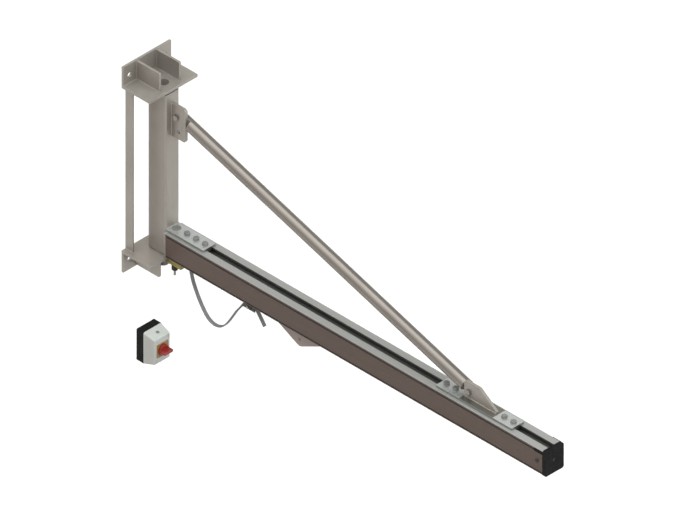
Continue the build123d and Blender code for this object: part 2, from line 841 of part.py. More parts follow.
def wheel_pair(place):
    """Two wheels on one axle, each with a hub that reaches in to the hanger plate."""
    with BuildPart() as pair:
        with BuildSketch(Plane.XZ.offset(wheel_inset)):
            with Locations((place, axle_height)):
                Circle(wheel_diameter / 2)
        extrude(amount=wheel_width)
        chamfer(pair.edges().filter_by(GeomType.CIRCLE), length=wheel_chamfer)
        with BuildSketch(Plane.XZ.offset(wheel_inset)):
            with Locations((place, axle_height)):
                Circle(wheel_hub_diameter / 2)
        extrude(amount=hanger_thickness / 2 + hub_gap - wheel_inset)
        with BuildSketch(Plane.XZ):
            with Locations((place, axle_height)):
                Circle(axle_diameter / 2 + running_clearance)
        extrude(amount=wheel_inset + wheel_width, mode=Mode.SUBTRACT)
        mirror(about=Plane.XZ)
    return pair.part


rear_wheel_pair = wheel_pair(axle_places[0])
front_wheel_pair = wheel_pair(axle_places[1])

with BuildPart() as rear_wheels:
    add(rear_wheel_pair)
save(rear_wheels, "rear_wheels")

with BuildPart() as front_wheels:
    add(front_wheel_pair)
save(front_wheels, "front_wheels")

# Cable trolley: carriage plate with a stirrup that holds the cable saddle
roller_axle_height = runway + wheel_gap + roller_diameter / 2
roller_places = [carriage_reach - roller_offset, carriage_reach + roller_offset]
roller_axle_reach = roller_inset + roller_width + roller_side_gap
saddle_height = rail_bottom - saddle_drop
saddle_half_width = cable_width / 2 + saddle_groove_clearance
stirrup_inner = saddle_half_width + saddle_lip_width + stirrup_clearance
stirrup_outer = stirrup_inner + stirrup_wall
bridge_top = rail_bottom - carriage_drop + stirrup_bridge
saddle_bolt_height = saddle_height + saddle_bolt_rise

with BuildPart() as cable_carriage:
    with BuildSketch(Plane.XZ):
        with Locations((carriage_reach, rail_bottom - carriage_drop)):
            Rectangle(
                carriage_length,
                runway + carriage_rise - rail_bottom + carriage_drop,
                align=(Align.CENTER, Align.MIN),
            )
        with Locations([(x, roller_axle_height) for x in roller_places]):
            Circle(roller_axle_diameter / 2 + seat_clearance, mode=Mode.SUBTRACT)
    extrude(amount=carriage_thickness / 2, both=True)
    with BuildSketch(Plane.XZ):
        with Locations((carriage_reach, bridge_top)):
            Rectangle(stirrup_length, stirrup_bridge, align=(Align.CENTER, Align.MAX))
    extrude(amount=stirrup_outer, both=True)
    with BuildSketch(Plane.XZ.offset(stirrup_inner)):
        with Locations((carriage_reach, bridge_top)):
            Rectangle(
                stirrup_length,
                bridge_top - saddle_bolt_height + stirrup_tail,
                align=(Align.CENTER, Align.MAX),
            )
        with Locations((carriage_reach, saddle_bolt_height)):
            Circle(saddle_bolt_diameter / 2 + thread_clearance, mode=Mode.SUBTRACT)
    extrude(amount=stirrup_wall)
    mirror(about=Plane.XZ)
save(cable_carriage, "cable_carriage")

with BuildPart() as carriage_axles:
    with BuildSketch(Plane.XZ):
        with Locations([(x, roller_axle_height) for x in roller_places]):
            Circle(roller_axle_diameter / 2)
    extrude(amount=roller_axle_reach, both=True)
    with BuildSketch(Plane.XZ.offset(roller_axle_reach)):
        with Locations([(x, roller_axle_height) for x in roller_places]):
            Circle(rivet_head_diameter / 2)
    extrude(amount=rivet_head_height)
    mirror(about=Plane.XZ)
save(carriage_axles, "carriage_axles")


def roller_pair(place):
    """Two small rollers on one riveted axle."""
    with BuildPart() as pair:
        with BuildSketch(Plane.XZ.offset(carriage_thickness / 2 + hub_gap)):
            with Locations((place, roller_axle_height)):
                Circle(rivet_head_diameter / 2)
        extrude(amount=roller_inset - carriage_thickness / 2 - hub_gap)
        with BuildSketch(Plane.XZ.offset(roller_inset)):
            with Locations((place, roller_axle_height)):
                Circle(roller_diameter / 2)
        extrude(amount=roller_width)
        with BuildSketch(Plane.XZ):
            with Locations((place, roller_axle_height)):
                Circle(roller_axle_diameter / 2 + running_clearance)
        extrude(amount=roller_inset + roller_width, mode=Mode.SUBTRACT)
        mirror(about=Plane.XZ)
    return pair.part


rear_roller_pair = roller_pair(roller_places[0])
front_roller_pair = roller_pair(roller_places[1])

with BuildPart() as rear_rollers:
    add(rear_roller_pair)
save(rear_rollers, "rear_rollers")

with BuildPart() as front_rollers:
    add(front_roller_pair)
save(front_rollers, "front_rollers")

with BuildPart() as cable_saddle:
    with BuildSketch(Plane.XZ):
        with Locations((carriage_reach, saddle_height)):
            Circle(saddle_radius + saddle_lip)
            Rectangle(
                4 * saddle_radius, 2 * saddle_radius, align=(Align.CENTER, Align.MAX), mode=Mode.SUBTRACT
            )
    extrude(amount=saddle_half_width + saddle_lip_width, both=True)
    with BuildSketch(Plane.XZ):
        with Locations((carriage_reach, saddle_height)):
            Circle(saddle_radius + 2 * saddle_lip)
            Circle(saddle_radius, mode=Mode.SUBTRACT)
    extrude(amount=saddle_half_width, both=True, mode=Mode.SUBTRACT)
    with BuildSketch(Plane.XZ):
        with Locations((carriage_reach, saddle_bolt_height)):
            Circle(saddle_bolt_diameter / 2 + thread_clearance)
    extrude(amount=stirrup_outer, both=True, mode=Mode.SUBTRACT)
save(cable_saddle, "cable_saddle")

saddle_bolt_length = 2 * stirrup_outer + saddle_bolt_head
m6_bolt = hex_bolt(saddle_bolt_diameter, saddle_bolt_length, saddle_bolt_flats, saddle_bolt_head)

with BuildPart() as saddle_bolt:
    with Locations(Location((carriage_reach, -stirrup_outer, saddle_bolt_height), (90, 0, 0))):
        add(m6_bolt)
save(saddle_bolt, "saddle_bolt")

# Flat cable: from the clamp in the rail in a hanging loop up to the saddle, and on to its cut end
cable_radius = saddle_radius + cable_thickness / 2


def saddle_point(angle, radius):
    """A point round the saddle, its angle measured from upright towards the rail's outer end."""
    turn = radians(angle)
    return (carriage_reach + radius * sin(turn), 0, saddle_height + radius * cos(turn))


def easy_radii(points):
    """The largest easy bend at each inner point of a cable route."""
    radii = []
    for before, corner, after in zip(points, points[1:], points[2:]):
        first = Vector(*corner) - Vector(*before)
        second = Vector(*after) - Vector(*corner)
        half_turn = radians(first.get_angle(second)) / 2
        radii.append(bend_share * min(first.length, second.length) / tan(half_turn))
    return radii


rise_point = saddle_point(-saddle_rise_angle, cable_radius)
rise_start = (
    rise_point[0] - rise_run * cos(radians(saddle_rise_angle)),
    0,
    rise_point[2] - rise_run * sin(radians(saddle_rise_angle)),
)
cable_bend = lower_plate_bottom - cable_fall
# The hanging loop: share of the way from the clamp to the saddle, and depth below the first bend
loop_shape = [
    (0, 0),
    (0.04, 45),
    (0.121, 84.5),
    (0.214, 121),
    (0.308, 149),
    (0.369, 160.8),
    (0.442, 168.1),
    (0.522, 169.4),
    (0.599, 164.1),
    (0.664, 153.3),
    (0.719, 140),
    (0.808, 110.3),
    (0.907, 71),
]
loop_span = rise_start[0] - cable_start
hanging_points = [(cable_start + share * loop_span, 0, cable_bend - depth) for share, depth in loop_shape]
loop_points = [(cable_start, 0, cable_top)] + hanging_points + [rise_start, rise_point]
loop_radii = easy_radii(loop_points)
print("cable loop radii", [round(r, 1) for r in loop_radii])

with BuildPart() as cable_loop:
    with BuildLine() as loop_route:
        FilletPolyline(*loop_points, radius=loop_radii)
    with BuildSketch(Plane(origin=loop_route.line @ 0, x_dir=(0, 1, 0), z_dir=loop_route.line % 0)):
        SlotOverall(cable_width, cable_thickness)
    sweep(path=loop_route.line)
save(cable_loop, "cable_loop")

crest_point = saddle_point((saddle_fall_angle - saddle_rise_angle) / 2, cable_radius)
fall_point = saddle_point(saddle_fall_angle, cable_radius)
tail_bend = (
    fall_point[0] + tail_run * cos(radians(saddle_fall_angle)),
    0,
    fall_point[2] - tail_run * sin(radians(saddle_fall_angle)),
)
tail_end = (tail_bend[0] + tail_end_reach, 0, tail_bend[2] - tail_end_drop)
tail_points = [fall_point, tail_bend, tail_end]
tail_radii = easy_radii(tail_points)
print("cable tail radii", [round(r, 1) for r in [cable_radius] + tail_radii])

with BuildPart() as cable_tail:
    with BuildLine() as tail_route:
        ThreePointArc(rise_point, crest_point, fall_point)
        FilletPolyline(*tail_points, radius=tail_radii)
    with BuildSketch(Plane(origin=tail_route.line @ 0, x_dir=(0, 1, 0), z_dir=tail_route.line % 0)):
        SlotOverall(cable_width, cable_thickness)
    sweep(path=tail_route.line)
save(cable_tail, "cable_tail")

# Fixed cable clamp: block on the runway's lips, with a plate that grips the cable
with BuildPart() as cable_clamp:
    with BuildSketch(Plane.XY.offset(runway)):
        with Locations((block_face, 0)):
            Rectangle(
                clamp_block_length, chamber_width - 2 * stop_side_clearance, align=(Align.MIN, Align.CENTER)
            )
    extrude(amount=clamp_block_height)
    with BuildSketch(Plane.YZ.offset(block_face)):
        with Locations((0, clamp_middle)):
            with GridLocations(clamp_screw_spacing, 0, 2, 1):
                Circle(clamp_screw_diameter / 2 + thread_clearance)
    extrude(amount=clamp_screw_length - clamp_plate_thickness - cable_thickness, mode=Mode.SUBTRACT)
    with BuildSketch(Plane.XZ.offset(-chamber_width / 2)):
        with Locations((block_screw_x, block_screw_z)):
            Circle(end_screw_diameter / 2 + thread_clearance)
    extrude(amount=end_screw_length, mode=Mode.SUBTRACT)
save(cable_clamp, "cable_clamp")

plate_face = cable_start - cable_thickness / 2

with BuildPart() as clamp_plate:
    with BuildSketch(Plane.YZ.offset(plate_face)):
        with Locations((0, clamp_middle)):
            RectangleRounded(clamp_width, clamp_length, bar_corner_radius)
            with GridLocations(clamp_screw_spacing, 0, 2, 1):
                Circle(clamp_screw_diameter / 2 + thread_clearance, mode=Mode.SUBTRACT)
    extrude(amount=-clamp_plate_thickness)
save(clamp_plate, "clamp_plate")

clamp_screw = round_screw(
    clamp_screw_diameter, clamp_screw_length, clamp_screw_head_diameter, clamp_screw_head_height
)

with BuildPart() as clamp_screws:
    with Locations(Location((plate_face - clamp_plate_thickness, 0, clamp_middle), (0, -90, 0))):
        with GridLocations(0, clamp_screw_spacing, 1, 2):
            add(clamp_screw)
save(clamp_screws, "clamp_screws")

# Swivel brake: a yellow body under the lower plate whose shoe rubs on the lower pin
brake_bracket_start = pivot_reach + pin_radius + collar_wall + bracket_pin_gap
brake_top = lower_plate_bottom - brake_bracket_thickness
brake_bottom = brake_top - brake_height
brake_back = brake_reach - brake_length
brake_screw_places = [brake_reach - brake_screw_inset - brake_screw_pitch * i for i in range(2)]
shoe_top = brake_top - shoe_drop
shoe_middle = shoe_top - shoe_height / 2
adjuster_x = brake_back + adjuster_inset

with BuildPart() as brake_bracket:
    with BuildSketch(Plane.XY.offset(lower_plate_bottom)):
        with Locations((brake_bracket_start, 0)):
            Rectangle(
                brake_reach - brake_bracket_start, brake_bracket_width, align=(Align.MIN, Align.CENTER)
            )
        with Locations([(x, 0) for x in brake_screw_places]):
            Circle(brake_screw_diameter / 2 + end_screw_hole_clearance, mode=Mode.SUBTRACT)
    extrude(amount=-brake_bracket_thickness)
save(brake_bracket, "brake_bracket")

with BuildPart() as brake_body:
    with BuildSketch(Plane.XY.offset(brake_top)):
        with Locations((brake_back, 0)):
            Rectangle(brake_length, brake_width, align=(Align.MIN, Align.CENTER))
    extrude(amount=-brake_height)
    fillet(brake_body.edges().filter_by(Axis.Z), radius=brake_edge_radius)
    fillet(brake_body.faces().sort_by(Axis.Z)[0].edges(), radius=brake_edge_radius / 2)
    with BuildSketch(Plane.XY.offset(brake_top)):
        with Locations([(x, 0) for x in brake_screw_places]):
            Circle(brake_screw_diameter / 2 + thread_clearance)
    extrude(amount=-brake_screw_length, mode=Mode.SUBTRACT)
    with BuildSketch(Plane.XY.offset(brake_bottom)):
        with Locations((adjuster_x, 0)):
            Circle(adjuster_diameter / 2 + thread_clearance)
    extrude(amount=adjuster_depth, mode=Mode.SUBTRACT)
    with BuildSketch(Plane.YZ.offset(brake_back)):
        with Locations((0, shoe_middle)):
            Circle(shoe_stem_diameter / 2 + running_clearance)
    extrude(amount=shoe_stem_length, mode=Mode.SUBTRACT)
save(brake_body, "brake_body")

brake_screw = round_screw(
    brake_screw_diameter, brake_screw_length, brake_screw_head_diameter, brake_screw_head_height
)

with BuildPart() as brake_body_screws:
    with Locations([(x, 0, lower_plate_bottom) for x in brake_screw_places]):
        add(brake_screw)
save(brake_body_screws, "brake_body_screws")

with BuildPart() as brake_shoe:
    with BuildSketch(Plane.XY.offset(shoe_top)):
        with Locations((pivot_reach, 0)):
            Rectangle(brake_back - pivot_reach, shoe_width, align=(Align.MIN, Align.CENTER))
            Circle(pin_radius + shoe_gap, mode=Mode.SUBTRACT)
    extrude(amount=-shoe_height)
    with BuildSketch(Plane.YZ.offset(brake_back)):
        with Locations((0, shoe_middle)):
            Circle(shoe_stem_diameter / 2)
    extrude(amount=shoe_stem_length)
save(brake_shoe, "brake_shoe")

with BuildPart() as brake_adjuster:
    with BuildSketch(Plane.XY.offset(brake_bottom + adjuster_depth)):
        with Locations((adjuster_x, 0)):
            Circle(adjuster_diameter / 2)
    extrude(amount=-(adjuster_depth + adjuster_tail))
    chamfer(brake_adjuster.faces().sort_by(Axis.Z)[0].edges(), length=adjuster_diameter / 8)
save(brake_adjuster, "brake_adjuster")

lock_nut = hex_nut(adjuster_diameter, lock_nut_height, lock_nut_flats)

with BuildPart() as brake_lock_nut:
    with Locations((adjuster_x, 0, brake_bottom - lock_nut_height)):
        add(lock_nut)
save(brake_lock_nut, "brake_lock_nut")

# Isolator: base box on the wall
cover_screw_seat = isolator_depth - cover_screw_sink
cover_screw_length = cover_screw_seat - isolator_base_depth + cover_screw_grip
cover_screw_places = [
    (cover_screw_reach, isolator_middle + cover_screw_rise),
    (-cover_screw_reach, isolator_middle - cover_screw_rise),
]

with BuildPart() as isolator_base:
    with BuildSketch(Plane.YZ):
        with Locations((0, isolator_middle)):
            RectangleRounded(isolator_width, isolator_height, isolator_corner_radius)
    extrude(amount=isolator_base_depth)
    with BuildSketch(Plane.YZ.offset(isolator_wall)):
        with Locations((0, isolator_middle)):
            Rectangle(isolator_width - 2 * isolator_wall, isolator_height - 2 * isolator_wall)
        with Locations(cover_screw_places):
            Circle(cover_screw_boss, mode=Mode.SUBTRACT)
    extrude(amount=isolator_base_depth - isolator_wall, mode=Mode.SUBTRACT)
    with BuildSketch(Plane.YZ):
        with Locations((0, isolator_middle)):
            with GridLocations(isolator_fixing_width, isolator_fixing_height, 2, 2):
                Circle(isolator_fixing_diameter / 2)
    extrude(amount=isolator_wall, mode=Mode.SUBTRACT)
    with BuildSketch(Plane.YZ.offset(isolator_base_depth)):
        with Locations(cover_screw_places):
            Circle(cover_screw_diameter / 2 + thread_clearance)
    extrude(amount=isolator_wall - isolator_base_depth, mode=Mode.SUBTRACT)
save(isolator_base, "isolator_base")

# Isolator: cover with sloping sides and a round knockout in its top and its bottom
front_width = isolator_width - 2 * isolator_draft
front_height = isolator_height - 2 * isolator_slope


def cover_form(inset, depth):
    """The cover's tapered form, drawn in by a wall's thickness for the hollow."""
    with BuildPart() as form:
        with BuildSketch(Plane.YZ.offset(isolator_base_depth)):
            with Locations((0, isolator_middle)):
                Rectangle(isolator_width - 2 * inset, isolator_height - 2 * inset)
        with BuildSketch(Plane.YZ.offset(depth)):
            with Locations((0, isolator_middle)):
                Rectangle(front_width - 2 * inset, front_height - 2 * inset)
        loft()
    return form.part


outer_form = cover_form(0, isolator_depth)
inner_form = cover_form(isolator_wall, isolator_depth - isolator_wall)

with BuildPart() as cover_hollow:
    add(inner_form)
    with BuildSketch(Plane.YZ.offset(isolator_base_depth)):
        with Locations(cover_screw_places):
            Circle(cover_screw_boss)
    extrude(amount=isolator_depth - isolator_base_depth, mode=Mode.SUBTRACT)

knockout_reach = (isolator_base_depth + isolator_depth) / 2
knockout_rise = (isolator_height - isolator_slope) / 2
cover_depth = isolator_depth - isolator_base_depth
knockout_planes = [
    Plane(
        origin=(knockout_reach, 0, isolator_middle + side * knockout_rise),
        x_dir=(0, 1, 0),
        z_dir=(isolator_slope, 0, side * cover_depth),
    )
    for side in (-1, 1)
]

with BuildPart() as isolator_cover:
    add(outer_form)
    fillet(isolator_cover.edges().sort_by(Axis.X)[4:], radius=cover_edge_radius)
    with BuildSketch(*knockout_planes):
        Circle(knockout_diameter / 2)
    extrude(amount=-knockout_depth, mode=Mode.SUBTRACT)
    add(cover_hollow.part, mode=Mode.SUBTRACT)
    with BuildSketch(Plane.YZ.offset(cover_screw_seat)):
        with Locations(cover_screw_places):
            Circle(cover_screw_head_diameter / 2 + cover_screw_recess_gap)
    extrude(amount=cover_screw_sink, mode=Mode.SUBTRACT)
    with BuildSketch(Plane.YZ.offset(isolator_base_depth)):
        with Locations(cover_screw_places):
            Circle(cover_screw_diameter / 2 + thread_clearance)
    extrude(amount=cover_screw_seat - isolator_base_depth, mode=Mode.SUBTRACT)
    with BuildSketch(Plane.YZ.offset(isolator_depth)):
        with Locations((0, isolator_middle)):
            Circle(spindle_diameter / 2 + spindle_hole_clearance)
    extrude(amount=-2 * isolator_wall, mode=Mode.SUBTRACT)
save(isolator_cover, "isolator_cover")

cover_screw = round_screw(
    cover_screw_diameter, cover_screw_length, cover_screw_head_diameter, cover_screw_head_height
)

with BuildPart() as isolator_cover_screws:
    with Locations([Location((cover_screw_seat, y, z), (0, 90, 0)) for y, z in cover_screw_places]):
        add(cover_screw)
save(isolator_cover_screws, "isolator_cover_screws")

with BuildPart() as isolator_contacts:
    with BuildSketch(Plane.YZ.offset(isolator_wall)):
        with Locations((0, isolator_middle)):
            Rectangle(contact_width, contact_height)
    extrude(amount=contact_depth)
    with BuildSketch(Plane.YZ.offset(isolator_wall + contact_depth)):
        with Locations((0, isolator_middle)):
            Circle(spindle_diameter / 2 + running_clearance)
    extrude(amount=spindle_end - isolator_wall - contact_depth, mode=Mode.SUBTRACT)
save(isolator_contacts, "isolator_contacts")

with BuildPart() as isolator_plate:
    with BuildSketch(Plane.YZ.offset(isolator_depth)):
        with Locations((0, isolator_middle)):
            RectangleRounded(plate_size, plate_size, plate_corner_radius)
            Circle(spindle_diameter / 2 + spindle_hole_clearance, mode=Mode.SUBTRACT)
    extrude(amount=plate_thickness)
save(isolator_plate, "isolator_plate")

# Isolator: knob with its grip bar and spindle
knob_back = isolator_depth + plate_thickness + knob_gap

with BuildPart() as switch_knob:
    with BuildSketch(Plane.YZ.offset(knob_back)):
        with Locations((0, isolator_middle)):
            Circle(knob_diameter / 2)
    extrude(amount=knob_disc)
    fillet(switch_knob.faces().sort_by(Axis.X)[-1].edges(), radius=knob_edge_radius)
    with BuildSketch(Plane.YZ.offset(knob_back)):
        with Locations((0, isolator_middle)):
            SlotOverall(knob_diameter, knob_grip_width)
    extrude(amount=knob_grip_height)
    fillet(switch_knob.faces().sort_by(Axis.X)[-1].edges(), radius=knob_edge_radius)
    with BuildSketch(Plane.YZ.offset(knob_back)):
        with Locations((0, isolator_middle)):
            Circle(spindle_diameter / 2)
    extrude(amount=spindle_end + running_clearance - knob_back)
save(switch_knob, "switch_knob")
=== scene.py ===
import math

import bmesh
import bpy
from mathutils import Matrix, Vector


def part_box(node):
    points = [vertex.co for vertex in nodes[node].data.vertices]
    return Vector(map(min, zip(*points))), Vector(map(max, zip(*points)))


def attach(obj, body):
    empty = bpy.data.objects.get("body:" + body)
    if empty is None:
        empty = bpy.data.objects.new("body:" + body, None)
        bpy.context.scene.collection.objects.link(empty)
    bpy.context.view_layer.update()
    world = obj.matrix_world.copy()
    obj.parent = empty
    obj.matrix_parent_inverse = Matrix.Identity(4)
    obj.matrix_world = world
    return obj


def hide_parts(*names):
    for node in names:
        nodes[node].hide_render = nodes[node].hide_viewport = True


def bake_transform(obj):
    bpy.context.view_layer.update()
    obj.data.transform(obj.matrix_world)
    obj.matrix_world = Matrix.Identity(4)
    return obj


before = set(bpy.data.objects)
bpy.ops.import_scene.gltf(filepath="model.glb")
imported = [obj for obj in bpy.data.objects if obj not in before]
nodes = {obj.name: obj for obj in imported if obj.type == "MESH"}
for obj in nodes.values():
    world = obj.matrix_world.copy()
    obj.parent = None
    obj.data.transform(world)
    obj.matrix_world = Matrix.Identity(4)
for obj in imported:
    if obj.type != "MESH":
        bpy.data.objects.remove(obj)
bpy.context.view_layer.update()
bpy.context.scene.view_settings.view_transform = "Standard"


# Wall bracket: flat steel plates, gussets and side struts, cut square and welded into one frame.
# The frame is spray coated in a satin warm grey, a little thinner along the cut edges and painted paler
# there as painted highlight.
class Finish:
    """One surface finish, built up from patterns that lie on the piece itself."""

    def __init__(self, name, metallic=0.0, specular=0.5):
        self.material = bpy.data.materials.new(name)
        self.material.use_nodes = True
        self.tree = self.material.node_tree
        self.shader = self.tree.nodes["Principled BSDF"]
        self.shader.inputs["Metallic"].default_value = metallic
        self.shader.inputs["Specular IOR Level"].default_value = specular
        self.place = self.tree.nodes.new("ShaderNodeTexCoord").outputs["Object"]
        self.normal = None

    def join(self, value, socket):
        if isinstance(value, bpy.types.NodeSocket):
            self.tree.links.new(value, socket)
        else:
            socket.default_value = value

    def spot(self, stretch=(1, 1, 1), tilt=0.0):
        """The place on the piece, drawn out the way the surface was worked."""
        mapping = self.tree.nodes.new("ShaderNodeMapping")
        mapping.vector_type = "TEXTURE"
        mapping.inputs["Rotation"].default_value[1] = tilt
        mapping.inputs["Scale"].default_value = stretch
        self.join(self.place, mapping.inputs["Vector"])
        return mapping.outputs["Vector"]

    def grain(self, scale, stretch=(1, 1, 1), tilt=0.0, detail=3.0):
        """Uneven specks."""
        noise = self.tree.nodes.new("ShaderNodeTexNoise")
        noise.inputs["Scale"].default_value = scale
        noise.inputs["Detail"].default_value = detail
        self.join(self.spot(stretch, tilt), noise.inputs["Vector"])
        return noise.outputs["Fac"]

    def spangle(self, scale):
        """Crystal flakes of a zinc coat."""
        cells = self.tree.nodes.new("ShaderNodeTexVoronoi")
        cells.inputs["Scale"].default_value = scale
        self.join(self.spot(), cells.inputs["Vector"])
        return cells.outputs["Distance"]

    def along(self, middle, half, wander):
        """1 on one stretch of the piece's length and 0 beyond it, with a ragged border."""
        apart = self.tree.nodes.new("ShaderNodeSeparateXYZ")
        self.join(self.place, apart.inputs["Vector"])
        shifted = self.tree.nodes.new("ShaderNodeMath")
        shifted.operation = "MULTIPLY_ADD"
        for value, socket in ((self.grain(160), 0), (wander, 1), (apart.outputs["X"], 2)):
            self.join(value, shifted.inputs[socket])
        inside = self.tree.nodes.new("ShaderNodeMath")
        inside.operation = "COMPARE"
        for value, socket in ((shifted.outputs["Value"], 0), (middle + wander / 2, 1), (half, 2)):
            self.join(value, inside.inputs[socket])
        return inside.outputs["Value"]

    def between(self, value, low, high, start=0.35, end=0.65):
        ranged = self.tree.nodes.new("ShaderNodeMapRange")
        settings = {"Value": value, "From Min": start, "From Max": end, "To Min": low, "To Max": high}
        for label, setting in settings.items():
            self.join(setting, ranged.inputs[label])
        return ranged.outputs["Result"]

    def mix(self, share, first, second):
        mixed = self.tree.nodes.new("ShaderNodeMix")
        mixed.data_type = "RGBA"
        for value, socket in ((share, 0), (first, 6), (second, 7)):
            self.join(value, mixed.inputs[socket])
        return mixed.outputs[2]

    def edges(self, radius, start=0.80, end=0.98):
        """Edges eased by a small radius, and how close to one a spot lies."""
        eased = self.tree.nodes.new("ShaderNodeBevel")
        eased.samples = 4
        eased.inputs["Radius"].default_value = radius
        flat = self.tree.nodes.new("ShaderNodeNewGeometry")
        compare = self.tree.nodes.new("ShaderNodeVectorMath")
        compare.operation = "DOT_PRODUCT"
        self.join(eased.outputs["Normal"], compare.inputs[0])
        self.join(flat.outputs["Normal"], compare.inputs[1])
        self.normal = eased.outputs["Normal"]
        return self.between(compare.outputs["Value"], 1.0, 0.0, start, end)

    def relief(self, height, depth):
        bump = self.tree.nodes.new("ShaderNodeBump")
        bump.inputs["Distance"].default_value = depth
        self.join(height, bump.inputs["Height"])
        if self.normal:
            self.join(self.normal, bump.inputs["Normal"])
        self.normal = bump.outputs["Normal"]

    def done(self, colour, roughness):
        self.join(colour, self.shader.inputs["Base Color"])
        self.join(roughness, self.shader.inputs["Roughness"])
        if self.normal:
            self.join(self.normal, self.shader.inputs["Normal"])
        return self.material


def tint(red, green, blue):
    """A colour as it looks, from 0 to 255, on the shader's own scale."""
    parts = [value / 255 for value in (red, green, blue)]
    return [v / 12.92 if v <= 0.04045 else ((v + 0.055) / 1.055) ** 2.4 for v in parts] + [1.0]


def sprayed_coat(name, colour, thin_edge_and_highlight, dust, metallic=0.0):
    """Satin coat: faint orange peel, slow drifts of tone, paler over an edge where it thins, and painted
    paler there as painted highlight.

    With metal flake in it, it mirrors what stands on it.
    """
    coat = Finish(name, metallic=metallic, specular=0.3)
    edge = coat.edges(0.0012)
    body = coat.mix(coat.between(coat.grain(7), 0, 1), colour, dust)
    body = coat.mix(coat.between(coat.grain(260), 0, 0.35), body, dust)
    coat.relief(coat.grain(700, detail=2), 0.00005)
    # Paler edges: partly thinner coat, partly painted highlight.
    return coat.done(coat.mix(edge, body, thin_edge_and_highlight), coat.between(coat.grain(40), 0.32, 0.42))


def dress(material, *names):
    """Puts a finish on pieces of the frame."""
    for name in names:
        for slot in nodes[name].material_slots:
            slot.material = material


bracket_coat = sprayed_coat(
    "bracket_coat", tint(161, 155, 149), tint(184, 181, 175), tint(153, 147, 141), metallic=0.45
)
dress(
    bracket_coat,
    "upper_wall_plate", "lower_wall_plate", "upper_bearing_plate", "lower_bearing_plate",
    "gussets", "side_struts", "brake_bracket",
)


# Weld seams of the bracket: fillet beads laid by hand where plate meets plate, then coated over.
# Each bead is a row of overlapping ripples a few millimetres apart.
def node_tree(name, inputs):
    """A geometry tree with its named inputs, and the two ends that its nodes join."""
    tree = bpy.data.node_groups.new(name, "GeometryNodeTree")
    sockets = {}
    for label, kind in inputs:
        sockets[label] = tree.interface.new_socket(label, in_out="INPUT", socket_type="NodeSocket" + kind)
    tree.interface.new_socket("Geometry", in_out="OUTPUT", socket_type="NodeSocketGeometry")
    start = tree.nodes.new("NodeGroupInput")
    end = tree.nodes.new("NodeGroupOutput")
    return tree, sockets, start.outputs, end.inputs


def made_plain(name, mesh, tree, sockets, settings):
    """Runs a geometry tree on a mesh and keeps the outcome as a plain mesh object."""
    piece = bpy.data.objects.new(name, mesh)
    bpy.context.scene.collection.objects.link(piece)
    modifier = piece.modifiers.new(name, "NODES")
    modifier.node_group = tree
    for label, value in settings.items():
        modifier[sockets[label].identifier] = value
    evaluated = piece.evaluated_get(bpy.context.evaluated_depsgraph_get())
    plain = bpy.data.meshes.new_from_object(evaluated)
    piece.modifiers.remove(modifier)
    piece.data = plain
    return piece


bead_tree, bead_sockets, bead_in, bead_out = node_tree(
    "weld_bead", [("Geometry", "Geometry"), ("Bead", "Float"), ("Step", "Float"), ("Coat", "Material")]
)
seam_curve = bead_tree.nodes.new("GeometryNodeMeshToCurve")
seam_points = bead_tree.nodes.new("GeometryNodeCurveToPoints")
seam_points.mode = "LENGTH"
ripple = bead_tree.nodes.new("GeometryNodeMeshUVSphere")
ripple.inputs["Segments"].default_value = 8
ripple.inputs["Rings"].default_value = 6
uneven = bead_tree.nodes.new("FunctionNodeRandomValue")
uneven.inputs[2].default_value = 0.86
uneven.inputs[3].default_value = 1.08
uneven.inputs["Seed"].default_value = 11
ripples = bead_tree.nodes.new("GeometryNodeInstanceOnPoints")
bead_real = bead_tree.nodes.new("GeometryNodeRealizeInstances")
bead_smooth = bead_tree.nodes.new("GeometryNodeSetShadeSmooth")
bead_coat = bead_tree.nodes.new("GeometryNodeSetMaterial")
for source, target in (
    (bead_in["Geometry"], seam_curve.inputs["Mesh"]),
    (seam_curve.outputs["Curve"], seam_points.inputs["Curve"]),
    (bead_in["Step"], seam_points.inputs["Length"]),
    (bead_in["Bead"], ripple.inputs["Radius"]),
    (seam_points.outputs["Points"], ripples.inputs["Points"]),
    (ripple.outputs["Mesh"], ripples.inputs["Instance"]),
    (uneven.outputs[1], ripples.inputs["Scale"]),
    (ripples.outputs["Instances"], bead_real.inputs["Geometry"]),
    (bead_real.outputs["Geometry"], bead_smooth.inputs["Geometry"]),
    (bead_smooth.outputs["Geometry"], bead_coat.inputs["Geometry"]),
    (bead_in["Coat"], bead_coat.inputs["Material"]),
    (bead_coat.outputs["Geometry"], bead_out["Geometry"]),
):
    bead_tree.links.new(source, target)


bead_radius, ripple_step = 0.0026, 0.0028


def weld(name, body, seams):
    """A bead along each seam, a seam being a run of points."""
    points, runs = [], []
    for seam in seams:
        runs += [(len(points) + i, len(points) + i + 1) for i in range(len(seam) - 1)]
        points += seam
    mesh = bpy.data.meshes.new(name)
    mesh.from_pydata(points, runs, [])
    settings = {"Bead": bead_radius, "Step": ripple_step, "Coat": bracket_coat}
    piece = made_plain(name, mesh, bead_tree, bead_sockets, settings)
    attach(piece, body)


